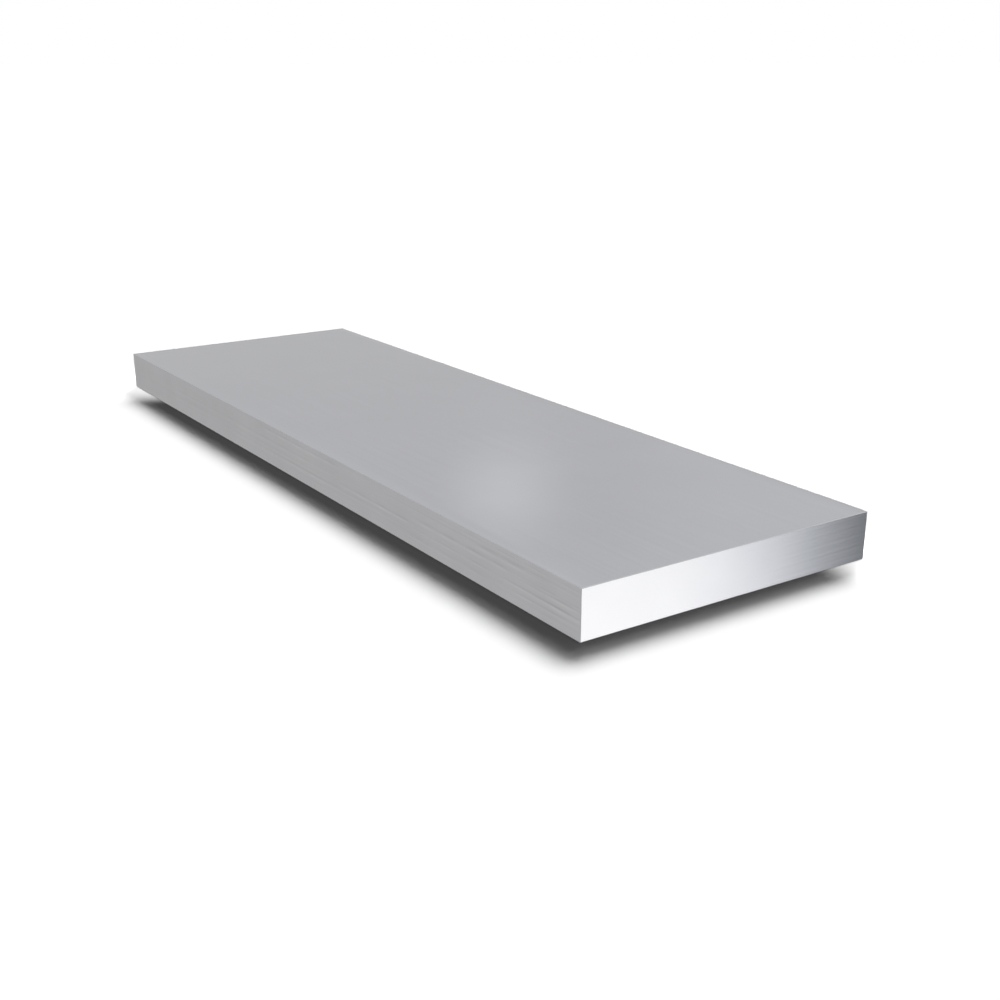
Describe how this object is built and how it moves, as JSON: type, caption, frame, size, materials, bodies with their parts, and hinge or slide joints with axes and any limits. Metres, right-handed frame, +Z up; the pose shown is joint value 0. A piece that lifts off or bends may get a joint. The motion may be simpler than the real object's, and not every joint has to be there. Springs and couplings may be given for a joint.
{
  "type": "metal flat bar",
  "caption": "Rectangular metal flat bar with sharp drawn edges and square-sawn ends, cut, drilled or welded into frames, straps and brackets.",
  "frame": {"origin": "middle of the underside, the wide face that the bar lies on", "axes": "+X along the bar's length, +Y across its width, +Z up through its thickness"},
  "size_m": [0.22, 0.07, 0.01],
  "materials": {
    "bar_metal": "mill finish, satin with faint lengthwise die lines, and brighter sawn ends"
  },
  "bodies": {
    "root": {"flat_bar": "bar_metal"}
  },
  "joints": []
}
